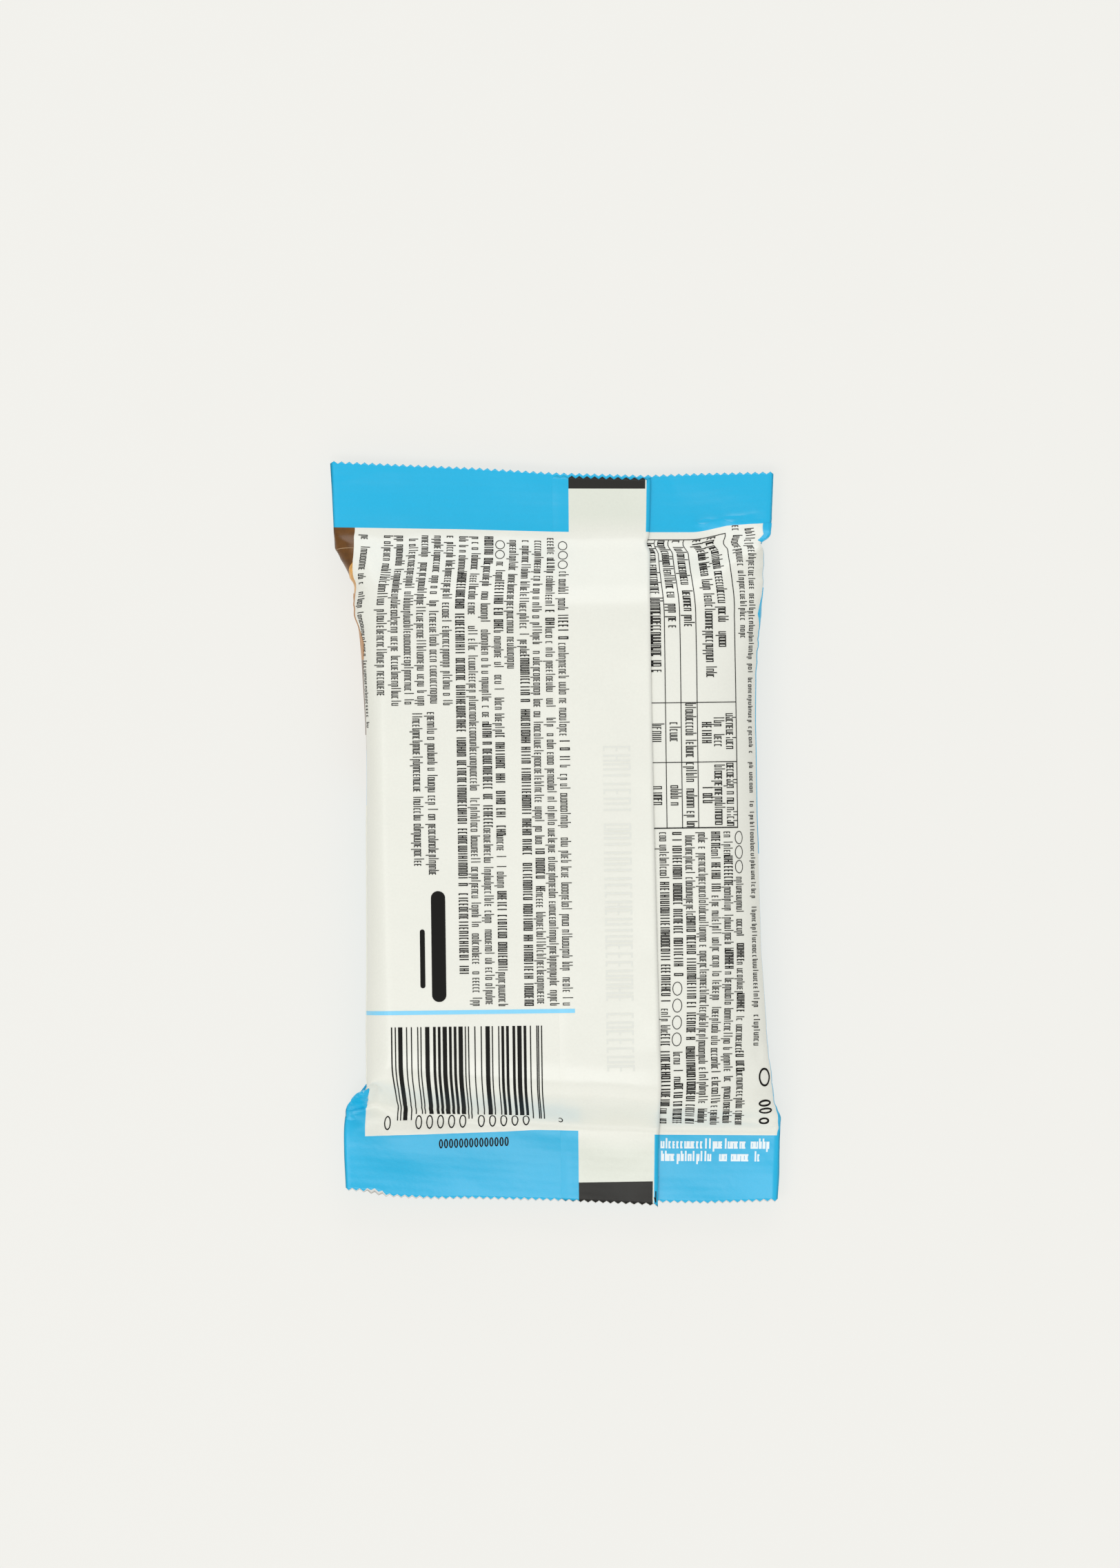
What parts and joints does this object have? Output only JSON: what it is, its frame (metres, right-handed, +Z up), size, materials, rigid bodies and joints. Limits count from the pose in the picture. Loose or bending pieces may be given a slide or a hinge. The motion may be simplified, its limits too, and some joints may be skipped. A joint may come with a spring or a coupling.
{
  "type": "energy bar in a flow wrapper",
  "caption": "Energy bar sealed in a printed flow wrapper, lying on its front with the folded back seam up and zigzag-cut end seals.",
  "frame": {"origin": "middle of the bounding box, at its bottom, on the surface that the wrapper lies on", "axes": "+X across the wrapper, towards the side that the back seam is folded to; +Y along it, towards the end with the longer slope; +Z up, out of the back with the seam"},
  "size_m": [0.0734, 0.1236, 0.0145],
  "materials": {
    "printed_film": "satin printed polypropylene film: cream label panel, sky-blue ends and front, plain marks in near-black"
  },
  "bodies": {
    "root": {"wrapper": "printed_film"}
  },
  "joints": []
}
